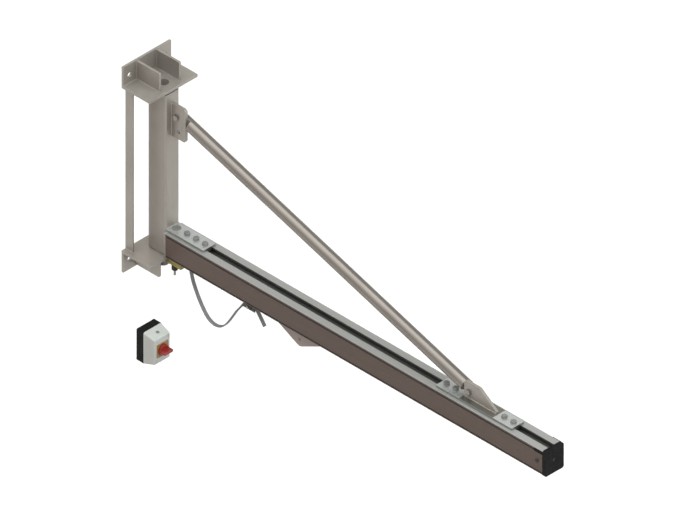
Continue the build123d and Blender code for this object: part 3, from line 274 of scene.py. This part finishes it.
wall_plate_front = 0.008
bearing_outer, bearing_inner = 0.321, 0.311
gusset_faces = (-0.048, -0.040, 0.040, 0.048)
gusset_low, gusset_high = 0.324, 0.388
wall_runs = ((-0.104, -0.052), (-0.036, 0.036), (0.052, 0.104))
strut_faces = (-0.089, -0.084, 0.084, 0.089)
brake_plate_end, brake_plate_half = 0.125, 0.020
bracket_seams = []
for level in (-1, 1):
    outer, inner = level * bearing_outer, level * bearing_inner
    low, high = level * gusset_low, level * gusset_high
    for face in gusset_faces:
        bracket_seams.append([(0.010, face, outer), (0.106, face, outer)])
        bracket_seams.append([(wall_plate_front, face, low), (wall_plate_front, face, high)])
    for left, right in wall_runs:
        bracket_seams.append([(wall_plate_front, left, outer), (wall_plate_front, right, outer)])
    for face in strut_faces:
        bracket_seams.append([(0.002, face, inner), (0.031, face, inner)])
bracket_seams.append([(brake_plate_end, -0.018, -bearing_outer), (brake_plate_end, 0.018, -bearing_outer)])
for face in (-brake_plate_half, brake_plate_half):
    bracket_seams.append([(0.110, face, -bearing_outer), (0.124, face, -bearing_outer)])
weld("bracket_welds", "wall_frame", bracket_seams)


# Pivots: turned steel pins in bronze bushes, with a bronze thrust washer under the column.
# The upper pin is set flush in its plate, and a steel collar keeps the lower pin from lifting.
def turned_steel(name, colour, dull, stretch):
    """Bright turned steel with fine tool rings round its axis."""
    steel = Finish(name, metallic=0.7)
    edge = steel.edges(0.0008)
    rings = steel.grain(900, stretch, detail=2)
    steel.relief(rings, 0.00004)
    body = steel.mix(steel.between(steel.grain(30), 0, 1), colour, dull)
    # Edges are painted pale: painted highlight, partly bright wear.
    return steel.done(steel.mix(edge, body, tint(182, 180, 176)), steel.between(rings, 0.30, 0.46))


pivot_steel = turned_steel("pivot_steel", tint(118, 114, 109), tint(96, 92, 88), (9, 9, 1))
dress(pivot_steel, "upper_pivot_pin", "lower_pivot_pin", "pin_collar")

bush_bronze = Finish("bush_bronze", metallic=1.0)
bush_edge = bush_bronze.edges(0.0006)
bush_tone = bush_bronze.mix(
    bush_bronze.between(bush_bronze.grain(60), 0, 1), tint(176, 137, 84), tint(140, 104, 62)
)
bush_bronze.relief(bush_bronze.grain(800, (8, 8, 1)), 0.00004)
dress(
    # Paler edges: painted highlight, partly bright wear.
    bush_bronze.done(
        bush_bronze.mix(bush_edge, bush_tone, tint(206, 170, 112)),
        bush_bronze.between(bush_bronze.grain(200), 0.30, 0.48),
    ),
    "upper_bush", "lower_bush", "thrust_washer",
)


# Column: a box section with a bored block in each end, turning between the two bearing plates.
# It wears the same coat as the bracket.
dress(bracket_coat, "column", "column_top_block", "column_bottom_block")


# Rail: one aluminium extrusion with a slot on top, side grooves and an open runway underneath.
# It is anodised dark bronze grey with faint draw lines. Its top lips are painted light, a paler copy of
# the skin, its side grooves are painted shade, nearly black, and the inside of its top slot is a dull dark
# grey.
def anodised(name, colour, shade, lines, worn_edge_and_highlight, metallic=0.0):
    """Anodised aluminium with draw lines along its length."""
    skin = Finish(name, metallic=metallic, specular=0.2)
    edge = skin.edges(0.0008)
    drawn_out = skin.grain(420, (90, 1, 1), detail=2)
    body = skin.mix(skin.between(skin.grain(5, (6, 1, 1)), 0, 1), colour, shade)
    body = skin.mix(skin.between(drawn_out, 0, 0.3), body, lines)
    skin.relief(drawn_out, 0.00003)
    # Paler edges: partly wear, partly painted highlight.
    return skin.done(skin.mix(edge, body, worn_edge_and_highlight), skin.between(drawn_out, 0.34, 0.46))


rail_bronze = anodised(
    "rail_bronze", tint(100, 85, 79), tint(94, 80, 75), tint(86, 73, 69), tint(132, 125, 119)
)
# Paler, more metallic copy of the skin for the top faces: painted light where they face the light.
rail_top_painted_light = anodised(
    "rail_top_painted_light", tint(181, 183, 182), tint(176, 178, 177), tint(166, 168, 167), tint(191, 193, 191), 0.7
)
# Near-black copy of the skin for the side grooves: painted shade in the recesses.
rail_groove_painted_shade = anodised(
    "rail_groove_painted_shade", tint(62, 56, 53), tint(56, 50, 47), tint(50, 45, 43), tint(80, 74, 70)
)
rail_slot = anodised(
    "rail_slot", tint(86, 87, 84), tint(80, 81, 78), tint(73, 74, 72), tint(94, 95, 92)
)
dress(rail_bronze, "rail")
rail_mesh = nodes["rail"].data
rail_mesh.materials.append(rail_top_painted_light)
rail_mesh.materials.append(rail_groove_painted_shade)
rail_mesh.materials.append(rail_slot)
rail_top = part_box("rail")[1].z
groove_floor, groove_mouth = 0.0365, 0.0395
grooves_start, grooves_end = 0.004, 0.0875
slot_depth = 0.0235
# Top faces get the painted-light skin, and groove faces get the painted-shade skin.
for face in rail_mesh.polygons:
    out, down = abs(face.center.y), rail_top - face.center.z
    if down < 0.0005:
        face.material_index = 1
    elif abs(face.normal.x) < 0.5:
        in_groove = groove_floor < out < groove_mouth and grooves_start < down < grooves_end
        in_slot = out < groove_floor and down < slot_depth
        face.material_index = 2 if in_groove else 3 if in_slot else 0


# Root bracket and tie foot: flat zinc-plated bars clamped on top of the rail by hexagon screws.
# Their sawn edges are duller, and a dark plug closes the root hole. The screws are dark zinc and pull up
# plain slot nuts inside the rail. In front of the welded fin, a grey band on the foot bar's top is painted
# shade where the fin shades the bar.
def zinc_plate(name, bright, dull, worn_edge_and_highlight, painted_shade_band=None):
    """Zinc plating: soft spangle, a few dull stains and brighter edges, partly wear and partly painted
    highlight.
    """
    zinc = Finish(name, metallic=0.85, specular=0.4)
    edge = zinc.edges(0.0010)
    flakes = zinc.spangle(240)
    body = zinc.mix(zinc.between(flakes, 0, 0.6, 0.1, 0.7), bright, dull)
    body = zinc.mix(zinc.between(zinc.grain(24), 0, 0.7, 0.45, 0.8), body, dull)
    zinc.relief(zinc.grain(500), 0.00003)
    # Brighter edges: partly wear, partly painted highlight.
    body = zinc.mix(edge, body, worn_edge_and_highlight)
    # A grey band along the length: painted shade in front of the fin.
    if painted_shade_band:
        middle, half, painted_shade_tone = painted_shade_band
        body = zinc.mix(zinc.along(middle, half, 0.004), body, painted_shade_tone)
    return zinc.done(body, zinc.between(flakes, 0.26, 0.36, 0.1, 0.7))


bar_tones = (tint(214, 219, 220), tint(204, 209, 210), tint(222, 226, 226))
# Where the fin shades the foot bar, a band of its top is painted grey as painted shade.
fin_middle, painted_shade_half = 1.489, 0.075
dress(zinc_plate("bar_zinc", *bar_tones), "root_bracket", "clamp_plate")
dress(
    zinc_plate("foot_zinc", *bar_tones, painted_shade_band=(fin_middle, painted_shade_half, tint(136, 134, 129))),
    "foot_plate",
)
bar_edge = zinc_plate("bar_edge", tint(146, 146, 142), tint(134, 134, 130), tint(170, 170, 166))
for bar in ("root_bracket", "foot_plate"):
    bar_mesh = nodes[bar].data
    bar_mesh.materials.append(bar_edge)
    bar_mesh.materials.append(bracket_coat)
    for face in bar_mesh.polygons:
        if face.center.z < rail_top - 0.0001:
            face.material_index = 2
        elif abs(face.normal.z) < 0.5:
            face.material_index = 1

fastener_zinc = zinc_plate("fastener_zinc", tint(152, 149, 144), tint(132, 129, 124), tint(176, 174, 170))
dress(
    fastener_zinc,
    "tie_bolts", "tie_nuts", "slot_nuts", "axle_clips", "saddle_bolt", "clamp_screws",
    "brake_body_screws",
)

dark_zinc = Finish("dark_zinc", specular=0.3)
dark_edge = dark_zinc.edges(0.0006)
dark_tone = dark_zinc.mix(
    dark_zinc.between(dark_zinc.grain(150), 0, 1), tint(126, 126, 124), tint(112, 112, 110)
)
dark_zinc.relief(dark_zinc.grain(900), 0.00003)
dress(
    dark_zinc.done(
        # Paler edges: painted highlight, partly wear.
        dark_zinc.mix(dark_edge, dark_tone, tint(140, 140, 138)),
        dark_zinc.between(dark_zinc.grain(320), 0.36, 0.55),
    ),
    "rail_screws", "root_plug",
)


# Tie: a bright drawn tube with a flat eye welded in each end, lapped on a lug and a fin and bolted.
# Lug, eyes and fin are cut plate in the bracket's coat, and the tube is polished.
upper_pin = Vector((0.142, 0, 0.219))
lower_pin = Vector((1.435, 0, -0.187))
tie_way = (lower_pin - upper_pin).normalized()
tie_tilt = math.atan2(-tie_way.z, tie_way.x)

drawn = Finish("drawn_tube", metallic=0.45, specular=0.3)
lengthwise = drawn.grain(600, (120, 1, 1), tie_tilt, detail=2)
tube_tone = drawn.mix(drawn.between(drawn.grain(9), 0, 1), tint(135, 128, 123), tint(130, 123, 118))
drawn.relief(lengthwise, 0.00002)
dress(drawn.done(tube_tone, drawn.between(lengthwise, 0.10, 0.15)), "tie_tube")
dress(bracket_coat, "tie_lug", "tie_eyes", "foot_fin")

column_front, bar_top = 0.120, -0.209
jib_seams = []
for face in (-0.005, 0.005):
    jib_seams.append([(column_front, face, 0.142), (column_front, face, 0.261)])
    jib_seams.append([(1.418, face, bar_top), (1.554, face, bar_top)])
for face in (-0.028, 0.028):
    jib_seams.append([(0.1185, face, -0.303), (0.1185, face, -0.219)])
jib_seams.append([(column_front, -0.022, bar_top), (column_front, 0.022, bar_top)])
weld("jib_welds", "jib", jib_seams)


# Screw threads that show: the tails of the tie bolts and the stud of the swivel brake.
# Each is a rolled thread, one ridge wound round the shank.
thread_tree, thread_sockets, thread_in, thread_out = node_tree(
    "rolled_thread",
    [
        ("Geometry", "Geometry"), ("Radius", "Float"), ("Ridge", "Float"), ("Turns", "Float"),
        ("Length", "Float"), ("Lean", "Rotation"), ("Coat", "Material"),
    ],
)
winding = thread_tree.nodes.new("GeometryNodeCurveSpiral")
winding.inputs["Resolution"].default_value = 20
profile = thread_tree.nodes.new("GeometryNodeCurvePrimitiveCircle")
profile.inputs["Resolution"].default_value = 4
ridge = thread_tree.nodes.new("GeometryNodeCurveToMesh")
ridge.inputs["Fill Caps"].default_value = True
shanks = thread_tree.nodes.new("GeometryNodeInstanceOnPoints")
thread_real = thread_tree.nodes.new("GeometryNodeRealizeInstances")
thread_coat = thread_tree.nodes.new("GeometryNodeSetMaterial")
for source, target in (
    (thread_in["Turns"], winding.inputs["Rotations"]),
    (thread_in["Radius"], winding.inputs["Start Radius"]),
    (thread_in["Radius"], winding.inputs["End Radius"]),
    (thread_in["Length"], winding.inputs["Height"]),
    (thread_in["Ridge"], profile.inputs["Radius"]),
    (winding.outputs["Curve"], ridge.inputs["Curve"]),
    (profile.outputs["Curve"], ridge.inputs["Profile Curve"]),
    (thread_in["Geometry"], shanks.inputs["Points"]),
    (ridge.outputs["Mesh"], shanks.inputs["Instance"]),
    (thread_in["Lean"], shanks.inputs["Rotation"]),
    (shanks.outputs["Instances"], thread_real.inputs["Geometry"]),
    (thread_real.outputs["Geometry"], thread_coat.inputs["Geometry"]),
    (thread_in["Coat"], thread_coat.inputs["Material"]),
    (thread_coat.outputs["Geometry"], thread_out["Geometry"]),
):
    thread_tree.links.new(source, target)


def thread(name, body, starts, settings):
    """A wound ridge from each start point."""
    mesh = bpy.data.meshes.new(name)
    mesh.from_pydata(starts, [], [])
    piece = made_plain(name, mesh, thread_tree, thread_sockets, settings)
    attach(piece, body)


bolt_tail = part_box("tie_nuts")[1].y
thread(
    "tie_bolt_threads", "jib",
    [(pin.x, bolt_tail + 0.0006, pin.z) for pin in (upper_pin, lower_pin)],
    {
        "Radius": 0.0057, "Ridge": 0.0006, "Turns": 1.25, "Length": 0.0018,
        "Lean": (-math.pi / 2, 0, 0), "Coat": fastener_zinc,
    },
)


# Rail end: a black moulded cap screwed to a stop block, with a rubber buffer inside the runway.
# The cap has a fine spark grain and the rubber is dull and slightly chalky.
def moulded(name, colour, shade, grain=1400, depth=0.00006, rough=(0.42, 0.56), gloss=0.5):
    """Moulded plastic: fine mould grain, slight flow marks and softened edges, painted paler as painted
    highlight.
    """
    plastic = Finish(name, specular=gloss)
    edge = plastic.edges(0.0012, 0.75, 0.99)
    body = plastic.mix(plastic.between(plastic.grain(30, (1, 1, 3)), 0, 1), colour, shade)
    plastic.relief(plastic.grain(grain, detail=2), depth)
    lighter_edge_and_highlight = [min(1.0, value * 1.35 + 0.012) for value in colour[:3]] + [1.0]
    return plastic.done(plastic.mix(edge, body, lighter_edge_and_highlight), plastic.between(plastic.grain(90), *rough))


cap_black = moulded("cap_black", tint(24, 24, 24), tint(18, 18, 19), rough=(0.55, 0.7), gloss=0.1)
dress(cap_black, "end_cap", "isolator_base")
dress(moulded("screw_black", tint(60, 57, 55), tint(52, 50, 48), gloss=0.3), "end_screws")
dress(moulded("stop_black", tint(62, 60, 58), tint(52, 50, 49)), "rail_stop")
dress(
    moulded("buffer_rubber", tint(34, 33, 32), tint(44, 43, 41), 500, 0.00012, (0.7, 0.85)),
    "stop_buffer",
)


# Load trolley: a cut hanger plate with a load eye, on two turned axles held by clips.
# Four nylon wheels run on the lips inside the rail.
hanger_coat = sprayed_coat("hanger_coat", tint(162, 150, 146), tint(186, 180, 176), tint(151, 140, 137))
dress(hanger_coat, "hanger_plate")
axle_steel = turned_steel("axle_steel", tint(166, 165, 162), tint(140, 138, 134), (9, 1, 9))
dress(axle_steel, "trolley_axles", "carriage_axles")
dress(
    moulded("wheel_nylon", tint(222, 219, 207), tint(208, 204, 192), 900, 0.00004, (0.38, 0.5)),
    "rear_wheels", "front_wheels", "rear_rollers", "front_rollers",
)


# Cable trolley and cable clamp: a small dark carriage that carries a moulded saddle on a bolt,
# and a fixed moulded block in the rail that grips the cable with a plate.
dress(
    moulded("fitting_black", tint(58, 57, 57), tint(48, 47, 47)),
    "cable_saddle", "cable_clamp", "cable_carriage",
)


# Flat cable: one grey rubber cable with cores side by side, so both faces are faintly ribbed.
# It leaves the clamp, hangs in a loop, lies over the saddle and ends in a cut end.
cable_route = [
    (0.1990, -0.2810), (0.1990, -0.3250), (0.2079, -0.3700), (0.2261, -0.4095), (0.2469, -0.4460),
    (0.2679, -0.4740), (0.2816, -0.4858), (0.2979, -0.4931), (0.3159, -0.4944), (0.3331, -0.4891),
    (0.3477, -0.4783), (0.3600, -0.4650), (0.3799, -0.4353), (0.4021, -0.3960), (0.4229, -0.3680),
    (0.4380, -0.3451), (0.4476, -0.3309), (0.4635, -0.3249), (0.4800, -0.3292), (0.4910, -0.3423),
    (0.5072, -0.3620), (0.5282, -0.3910),
]
cable_line = bpy.data.curves.new("cable_line", "CURVE")
cable_line.dimensions = "3D"
cable_line.resolution_u = 10
run = cable_line.splines.new("NURBS")
run.points.add(len(cable_route) - 1)
for point, (x, z) in zip(run.points, cable_route):
    point.co = (x, 0, z, 1)
run.order_u = 3
run.use_endpoint_u = True
line_object = bpy.data.objects.new("cable_line", cable_line)
bpy.context.scene.collection.objects.link(line_object)
line_evaluated = line_object.evaluated_get(bpy.context.evaluated_depsgraph_get())
line_mesh = bpy.data.meshes.new_from_object(line_evaluated)
cable_path = [vertex.co.copy() for vertex in line_mesh.vertices]
bpy.data.objects.remove(line_object)
bpy.data.meshes.remove(line_mesh)

cable_width, cable_thickness, cable_cores = 0.0140, 0.0050, 4
core_pitch = (cable_width - cable_thickness) / (cable_cores - 1)
core_dip = 0.00035
half_thick = cable_thickness / 2
flat_half = cable_width / 2 - half_thick


def cable_outline():
    """The cable's section: round edges and a shallow dip between one core and the next."""
    upper = []
    for i in range(3 * (cable_cores - 1) + 1):
        across = -flat_half + i * core_pitch / 3
        dip = core_dip if i % 3 else 0.0
        upper.append((across, half_thick - dip))
    cap = [(math.cos(a), math.sin(a)) for a in [math.pi / 2 - math.pi * k / 8 for k in range(1, 8)]]
    right = [(flat_half + half_thick * c, half_thick * s) for c, s in cap]
    lower = [(-y, -t) for y, t in upper]
    left = [(-y, -t) for y, t in right]
    return upper + right + lower + left


outline = cable_outline()
cable_mesh = bmesh.new()
loops = []
for i, spot in enumerate(cable_path):
    way = (cable_path[min(i + 1, len(cable_path) - 1)] - cable_path[max(i - 1, 0)]).normalized()
    up = Vector((-way.z, 0, way.x))
    loops.append([cable_mesh.verts.new(spot + Vector((0, y, 0)) + up * t) for y, t in outline])
for first, second in zip(loops, loops[1:]):
    for i in range(len(outline)):
        j = (i + 1) % len(outline)
        cable_mesh.faces.new((first[i], first[j], second[j], second[i])).smooth = True
cable_mesh.faces.new(loops[0])
cable_mesh.faces.new(list(reversed(loops[-1])))
bmesh.ops.recalc_face_normals(cable_mesh, faces=cable_mesh.faces)
cable_data = bpy.data.meshes.new("flat_cable")
cable_mesh.to_mesh(cable_data)
cable_mesh.free()
flat_cable = bpy.data.objects.new("flat_cable", cable_data)
bpy.context.scene.collection.objects.link(flat_cable)

sheath = Finish("cable_sheath")
sheath_tone = sheath.mix(sheath.between(sheath.grain(40), 0, 1), tint(128, 128, 129), tint(114, 114, 116))
sheath_tone = sheath.mix(sheath.between(sheath.grain(700), 0, 0.4), sheath_tone, tint(140, 140, 140))
sheath.relief(sheath.grain(900, (1, 3, 1)), 0.00006)
cable_data.materials.append(sheath.done(sheath_tone, sheath.between(sheath.grain(120), 0.52, 0.68)))
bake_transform(flat_cable)
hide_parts("cable_loop", "cable_tail")


# Swivel brake: a yellow cast body under the lower plate, whose lining rubs on the lower pin.
# A threaded stud with a black lock nut sets how hard it presses.
brake_yellow = sprayed_coat("brake_yellow", tint(176, 164, 88), tint(198, 188, 124), tint(162, 150, 78))
dress(brake_yellow, "brake_body")

lining = Finish("brake_lining")
flecks = lining.grain(520, detail=5)
lining_tone = lining.mix(lining.between(flecks, 0, 1, 0.45, 0.6), tint(176, 156, 124), tint(128, 108, 82))
lining.relief(flecks, 0.0001)
dress(lining.done(lining_tone, lining.between(flecks, 0.75, 0.9)), "brake_shoe")
dress(axle_steel, "brake_adjuster")
dress(
    moulded("nut_black", tint(44, 43, 40), tint(34, 33, 32), 700, 0.00004, (0.4, 0.55), 0.2),
    "brake_lock_nut",
)

stud_low, stud_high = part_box("brake_adjuster")
nut_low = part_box("brake_lock_nut")[0].z
stud_x = (stud_low.x + stud_high.x) / 2
thread(
    "brake_stud_thread", "wall_frame",
    [(stud_x, 0, stud_low.z + 0.0012)],
    {
        "Radius": 0.0038, "Ridge": 0.0004, "Turns": 18.5, "Length": nut_low - stud_low.z - 0.0018,
        "Lean": (0, 0, 0), "Coat": axle_steel,
    },
)


# Isolator: a black base box on the wall under a pale cover with sloping ends.
# A yellow plate carries the red turn knob, whose spindle works the contacts inside.
dress(
    moulded("cover_pale", tint(194, 197, 195), tint(188, 191, 189), 1600, 0.00003, (0.34, 0.46), 0.3),
    "isolator_cover", "isolator_cover_screws",
)
cover_mesh = nodes["isolator_cover"].data
cover_mesh.materials.append(moulded("knockout_grey", tint(136, 139, 138), tint(126, 129, 128)))
cover_middle, cover_half, slope_start, slope = -0.704, 0.060, 0.031, 13 / 44
knockout_out, knockout_reach = 0.053, 0.0065
for face in cover_mesh.polygons:
    x, y, z = face.center
    sunk = cover_half - (x - slope_start) * slope - abs(z - cover_middle)
    if 0.0003 < sunk < 0.0026 and math.hypot(x - knockout_out, y) < knockout_reach:
        face.material_index = 1
# A yellow plate, its yellow darkened towards brown as painted shade from the knob's shadow.
dress(
    moulded("plate_yellow", tint(150, 114, 60), tint(136, 102, 54), 1600, 0.00002, (0.28, 0.4)),
    "isolator_plate",
)
dress(
    moulded("knob_red", tint(146, 35, 31), tint(130, 28, 26), 1500, 0.00003, (0.28, 0.4)),
    "switch_knob",
)
dress(moulded("contact_grey", tint(88, 87, 84), tint(76, 75, 73)), "isolator_contacts")


# Studio: a plain pale floor well below the wall bracket, under a soft dome that is brightest overhead.
# A fill stands at the rail's end, the dome has a dark gap behind, and the floor throws back warm light.
floor_reach, floor_level = 30, -2.4
floor_corners = [(-1, -1), (1, -1), (1, 1), (-1, 1)]
floor_mesh = bpy.data.meshes.new("floor")
floor_mesh.from_pydata(
    [(x * floor_reach, y * floor_reach, floor_level) for x, y in floor_corners], [], [(0, 1, 2, 3)]
)
floor = bpy.data.objects.new("floor", floor_mesh)
bpy.context.scene.collection.objects.link(floor)
floor_finish = bpy.data.materials.new("studio_floor")
floor_finish.use_nodes = True
floor_tree = floor_finish.node_tree
seen = floor_tree.nodes.new("ShaderNodeLightPath")
either = floor_tree.nodes.new("ShaderNodeMath")
either.operation = "MAXIMUM"
any_view = floor_tree.nodes.new("ShaderNodeMath")
any_view.operation = "MAXIMUM"
floor_tone = floor_tree.nodes.new("ShaderNodeMix")
floor_tone.data_type = "RGBA"
floor_tone.inputs[6].default_value = (0.24, 0.19, 0.17, 1)
floor_tone.inputs[7].default_value = (0.80, 0.80, 0.80, 1)
floor_shader = floor_tree.nodes["Principled BSDF"]
floor_shader.inputs["Roughness"].default_value = 0.9
floor_shader.inputs["Specular IOR Level"].default_value = 0.1
for source, target in (
    (seen.outputs["Is Camera Ray"], either.inputs[0]),
    (seen.outputs["Is Glossy Ray"], either.inputs[1]),
    (either.outputs[0], any_view.inputs[0]),
    (seen.outputs["Is Transmission Ray"], any_view.inputs[1]),
    (any_view.outputs[0], floor_tone.inputs[0]),
    (floor_tone.outputs[2], floor_shader.inputs["Base Color"]),
):
    floor_tree.links.new(source, target)
floor_mesh.materials.append(floor_finish)

sky = bpy.data.worlds.new("studio_sky")
bpy.context.scene.world = sky
sky.use_nodes = True
sky_tree = sky.node_tree
sky_tree.nodes["Background"].inputs["Strength"].default_value = 3.4
sky_way = sky_tree.nodes.new("ShaderNodeTexCoord")
overhead = sky_tree.nodes.new("ShaderNodeVectorMath")
overhead.operation = "DOT_PRODUCT"
overhead.inputs[1].default_value = Vector((0.06, -0.20, 0.97)).normalized()
gathered = sky_tree.nodes.new("ShaderNodeMath")
gathered.operation = "POWER"
gathered.inputs[1].default_value = 4
sky_ramp = sky_tree.nodes.new("ShaderNodeValToRGB")
sky_ramp.color_ramp.elements[0].color = (0.170, 0.157, 0.148, 1)
sky_ramp.color_ramp.elements[1].color = (0.95, 0.99, 0.97, 1)
behind = sky_tree.nodes.new("ShaderNodeVectorMath")
behind.operation = "DOT_PRODUCT"
behind.inputs[1].default_value = Vector((-0.06, 0.68, 0.72)).normalized()
shaded = sky_tree.nodes.new("ShaderNodeMapRange")
shaded.interpolation_type = "SMOOTHSTEP"
for label, value in (("From Min", 0.875), ("From Max", 0.96), ("To Min", 1.0), ("To Max", 0.05)):
    shaded.inputs[label].default_value = value
dome = sky_tree.nodes.new("ShaderNodeVectorMath")
dome.operation = "SCALE"
for source, target in (
    (sky_way.outputs["Generated"], overhead.inputs[0]),
    (overhead.outputs["Value"], gathered.inputs[0]),
    (gathered.outputs[0], sky_ramp.inputs["Fac"]),
    (sky_way.outputs["Generated"], behind.inputs[0]),
    (behind.outputs["Value"], shaded.inputs["Value"]),
    (sky_ramp.outputs["Color"], dome.inputs[0]),
    (shaded.outputs["Result"], dome.inputs["Scale"]),
    (dome.outputs["Vector"], sky_tree.nodes["Background"].inputs["Color"]),
):
    sky_tree.links.new(source, target)

fill = bpy.data.lights.new("fill_light", "SUN")
fill.energy = 1.1
fill.angle = 0.9
fill.color = (0.88, 1.0, 1.0)
fill_object = bpy.data.objects.new("fill_light", fill)
fill_object.rotation_euler = Vector((1.0, 0.25, 0.35)).to_track_quat("Z", "Y").to_euler()
bpy.context.scene.collection.objects.link(fill_object)

lens = bpy.data.cameras.new("camera")
lens.type = "ORTHO"
lens.ortho_scale = 2.1335
lens.clip_end = 60
camera = bpy.data.objects.new("camera", lens)
view_aim, view_distance = Vector((0.865, 0, 0.047)), 5
view_back = Vector((1, -1, 1)).normalized()
camera.location = view_aim + view_back * view_distance
camera.rotation_euler = view_back.to_track_quat("Z", "Y").to_euler()
bpy.context.scene.collection.objects.link(camera)
bpy.context.scene.camera = camera
